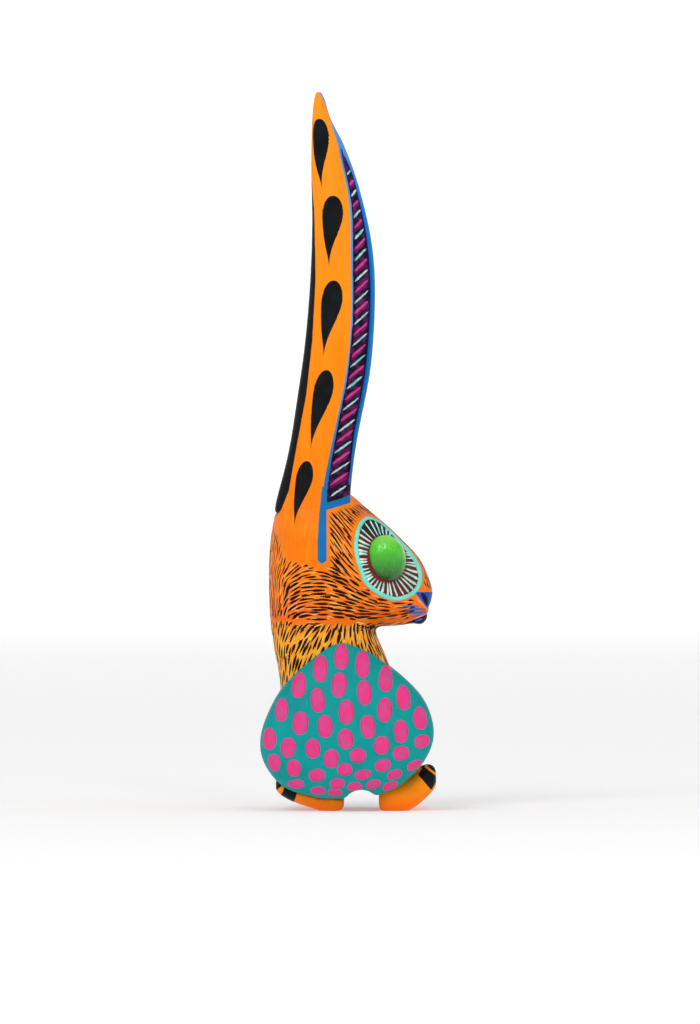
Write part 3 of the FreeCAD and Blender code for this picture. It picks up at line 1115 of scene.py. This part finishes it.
def carve_foot(name, toe_side, grooves, across, bands):
    """A foot with its toes parted by shallow grooves. It stores how far inside a black band each place is."""
    skin = skinned(cad_mesh(name))
    relax(skin, 0.5, 5)
    forwards = toe_side * points_of(skin)[:, 0]
    relax(skin, 0.8 * near(forwards, forwards.min(), 6), 30)
    points = points_of(skin)
    at_toes = rise(toe_side * points[:, 0], *grooves)
    parted = sum(near(np.abs(points[:, 1]), line, 1.3) for line in across)
    move_points(skin, points - normals_of(skin) * (1.3 * at_toes * parted)[:, None])
    relax(skin, 0.4, 3)

    x, _, z = points_of(skin).T
    best = np.full(len(x), OUTSIDE)
    for corners in bands:
        edges = []
        for (x1, z1), (x2, z2) in zip(corners, corners[1:] + corners[:1]):
            length = math.hypot(x2 - x1, z2 - z1)
            edges.append(((x2 - x1) * (z - z1) - (z2 - z1) * (x - x1)) / length)
        best = np.maximum(best, np.minimum.reduce(edges))
    store(skin, "toes", best)
    return skin


# ==== making everything
body_skin = carve_body()
ear_hollow = EarHollow()
mark_regions(body_skin, ear_hollow)
neck_plane = (0, 0, NECK_JOINT)
ear_foot = tuple(np.array(SEAT_POINT) + 0.3 * np.array(SEAT_UP))
seat_down = tuple(-np.array(SEAT_UP))
torso_mesh = part_of(body_skin, (neck_plane, (0, 0, 1)))
stand_in("torso", torso_mesh, torso_paint())
head_mesh = part_of(body_skin, (neck_plane, (0, 0, -1)), (ear_foot, SEAT_UP))
stand_in("head", head_mesh, head_paint())
ear_material = ear_paint()
for name, side in SIDES.items():
    ear_mesh = part_of(body_skin, (ear_foot, seat_down), ((0, 0, 0), (0, -side, 0)))
    stand_in(f"{name}_ear", ear_mesh, ear_material)

haunch_material = haunch_paint()
foot_material = foot_paint()
eye_material = eye_lacquer()
haunch_skins = {}
for name, side in SIDES.items():
    haunch = carve_haunch(name, side)
    haunch_skins[name] = Skin(haunch)
    stand_in(f"{name}_haunch", haunch, haunch_material)
    for foot, shape in FEET.items():
        stand_in(f"{name}_{foot}", carve_foot(f"{name}_{foot}", *shape), foot_material)
    dome = skinned(cad_mesh(f"{name}_eye"), 0.4 * MM)
    relax(dome, 0.5, 12)
    stand_in(f"{name}_eye", dome, eye_material, "dome")

tail_mesh = skinned(cad_mesh("tail"))
relax(tail_mesh, 0.5, 12)
stand_in("tail", tail_mesh, torso_paint())

skin = Skin(body_skin)
tail_skin = Skin(tail_mesh)
dark_fur = simple_paint("dark_fur", (16, 5, 6), (48, 12, 10), 5, mottle=0.15)
head_fur = simple_paint("head_light_fur", (252, 196, 84), (240, 162, 110), 5)
neck_fur = simple_paint("neck_light_fur", (255, 212, 104), (252, 184, 90), 5)
fur = [
    ("head_light_strokes", head_fur, skin, on_head_fur, 6.0, 1.8, (6, 10), (0.28, 0.48), 0.05),
    ("head_dark_strokes", dark_fur, skin, on_head_fur, 6.6, 1.5, (6.5, 10.5), (0.50, 0.90), 0.09),
    ("neck_light_strokes", neck_fur, skin, on_neck_fur, 6.0, 1.9, (6, 10), (0.34, 0.60), 0.05),
    ("neck_dark_strokes", dark_fur, skin, on_neck_fur, 6.8, 1.8, (6.5, 11), (0.56, 1.12), 0.09),
    ("tail_strokes", dark_fur, tail_skin, on_tail_fur, 5.0, 2.0, (4, 7), (0.42, 0.70), 0.09),
]
for name, paint, *how in fur:
    add_marks(name, paint, lay_fur(*how))

drop_paint = simple_paint("drop_paint", (5, 7, 9), (10, 16, 22), 6, 0.36, mottle=0.2)
add_marks("ear_drops", drop_paint, lay_drops(skin))
smudge_paint = simple_paint("smudge_paint", (124, 34, 100), (90, 22, 80), 3)
magenta_paint = simple_paint("magenta_paint", (240, 72, 164), (206, 66, 148), 3)
mint_paint = simple_paint("mint_paint", (222, 252, 250), (130, 236, 226), 3)
hashes = [
    ("ear_smudges", smudge_paint, 1, 1.2, 0.05, -1.6, 0.95),
    ("ear_magenta_strokes", magenta_paint, 1, 0.92, 0.12),
    ("ear_mint_strokes", mint_paint, 0, 0.66, 0.12),
]
for name, paint, *how in hashes:
    add_marks(name, paint, lay_hashes(skin, ear_hollow, *how))

ring_paint = simple_paint("ring_paint", MINT, (134, 226, 210), 5, mottle=0.05)
add_marks("eye_rings", ring_paint, lay_eye_ring(skin))
ray_paint = simple_paint("ray_paint", (214, 248, 238), (156, 230, 214), 4)
add_marks("eye_rays", ray_paint, lay_eye_rays(skin))

muzzle_paint = simple_paint("muzzle_paint", (112, 96, 160), (44, 112, 180), 4)
muzzle = lay_lines(
    skin,
    ([(25.6, 101.4), (29, 102.1), (32.5, 102.2), (35.8, 101.8)], 0.55),
    ([(28.2, 100.1), (32, 100.6), (35.6, 100.6), (39.2, 100.2)], 0.8),
    ([(29.6, 98.4), (33, 98.8), (36, 98.9), (40.2, 99.0)], 0.85),
    ([(30.8, 96.8), (33.4, 97.1), (37.6, 97.9)], 0.55),
    ([(33.2, 94.4), (35.4, 95.1), (37.6, 95.8)], 0.7),
)
add_marks("muzzle_strokes", muzzle_paint, muzzle)
nostril_paint = simple_paint("nostril_paint", (6, 10, 44), (8, 14, 84), 3)
nostrils = lay_lines(skin, ([(36.5, 108.9), (37.8, 107.4), (38.8, 105.6), (39.7, 103.6), (40.1, 101.8)], 1.5))
add_marks("nostrils", nostril_paint, nostrils)
lip_paint = simple_paint("lip_paint", (244, 184, 150), (236, 150, 104), 3)
lips = lay_lines(
    skin,
    ([(34.0, 107.2), (35.2, 105.0), (36.9, 103.2), (38.6, 101.6), (39.6, 100.3)], 0.36),
    ([(30.6, 94.5), (34.3, 96.1), (38.9, 98.0)], 0.32),
)
add_marks("lip_strokes", lip_paint, lips)

oval_paint = simple_paint("oval_paint", PINK, (210, 74, 140), 4, mottle=0.05)
add_marks("haunch_ovals", oval_paint, lay_ovals(haunch_skins))

wood = bare_wood()
for name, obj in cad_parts.items():
    if name.endswith(("peg", "pegs", "dowel")):
        obj.data.materials.clear()
        obj.data.materials.append(wood)


# ==== stage, lights and camera
def backdrop():
    """A pale floor that curves up all round into a low wall, in metres."""
    flat, bend, height, turns, bend_steps = 5.6, 1.2, 2.4, 96, 12
    profile = [(0.02, 0.0), (1.0, 0.0), (3.0, 0.0), (flat, 0.0)]
    for step in range(1, bend_steps + 1):
        turn = step / bend_steps * math.pi / 2
        profile.append((flat + bend * math.sin(turn), bend * (1 - math.cos(turn))))
    profile.append((flat + bend, height))
    vertices, faces = [(0, 0, 0)], []
    size = len(profile)
    for i in range(turns):
        turn = 2 * math.pi * i / turns
        vertices += [(r * math.cos(turn), r * math.sin(turn), h) for r, h in profile]
        here, there = 1 + i * size, 1 + (i + 1) % turns * size
        faces.append((0, here, there))
        faces += [(here + j, here + j + 1, there + j + 1, there + j) for j in range(size - 1)]
    mesh = bpy.data.meshes.new("backdrop")
    mesh.from_pydata(vertices, [], faces)
    mesh.shade_smooth()
    paper = bpy.data.materials.new("backdrop_paper")
    paper.use_nodes = True
    shader = paper.node_tree.nodes["Principled BSDF"]
    fill(shader, {"Base Color": (246, 246, 246), "Roughness": 0.9, "Specular IOR Level": 0.0})
    fill(shader, {"Emission Color": (255, 255, 255), "Emission Strength": 0.24})
    mesh.materials.append(paper)
    place_in_scene("backdrop", mesh)


def lamp(name, kind, source, target, power, **settings):
    """A light at source that shines towards target. A sun lights everything from that direction."""
    light = bpy.data.lights.new(name, kind)
    light.energy = power
    for setting, value in settings.items():
        setattr(light, setting, value)
    obj = place_in_scene(name, light)
    obj.location = source
    obj.rotation_euler = (Vector(target) - Vector(source)).to_track_quat("-Z", "Y").to_euler()


def studio():
    """Soft lights, a bright world and a level camera on the hare's right."""
    backdrop()
    lamp("key", "AREA", (-0.35, -1.5, 1.0), (0, 0, 0.17), 1.8, shape="SQUARE", size=0.45)
    lamp("high", "AREA", (0.35, -1.2, 1.15), (0, 0, 0.15), 1.8, shape="SQUARE", size=0.22)
    lamp("window", "SUN", (-0.45, -0.75, 0.75), (0, 0, 0), 0.7, angle=math.radians(25))
    lamp("far_window", "SUN", (0.8, -0.5, 0.3), (0, 0, 0), 0.42, angle=math.radians(40))
    world = bpy.data.worlds.new("world")
    bpy.context.scene.world = world
    world.use_nodes = True
    fill(world.node_tree.nodes["Background"], {"Color": (255, 255, 255), "Strength": 0.47})
    bpy.context.scene.view_settings.view_transform = "Standard"

    distance, eye_level, sideways, frame_height = 3.5, 0.1492, 0.001, 0.5136
    lens = bpy.data.cameras.new("camera")
    lens.sensor_width = 36
    lens.lens = lens.sensor_width * distance / frame_height
    camera = place_in_scene("camera", lens)
    camera.location = (sideways, -distance, eye_level)
    camera.rotation_euler = (math.pi / 2, 0, 0)
    bpy.context.scene.camera = camera


studio()
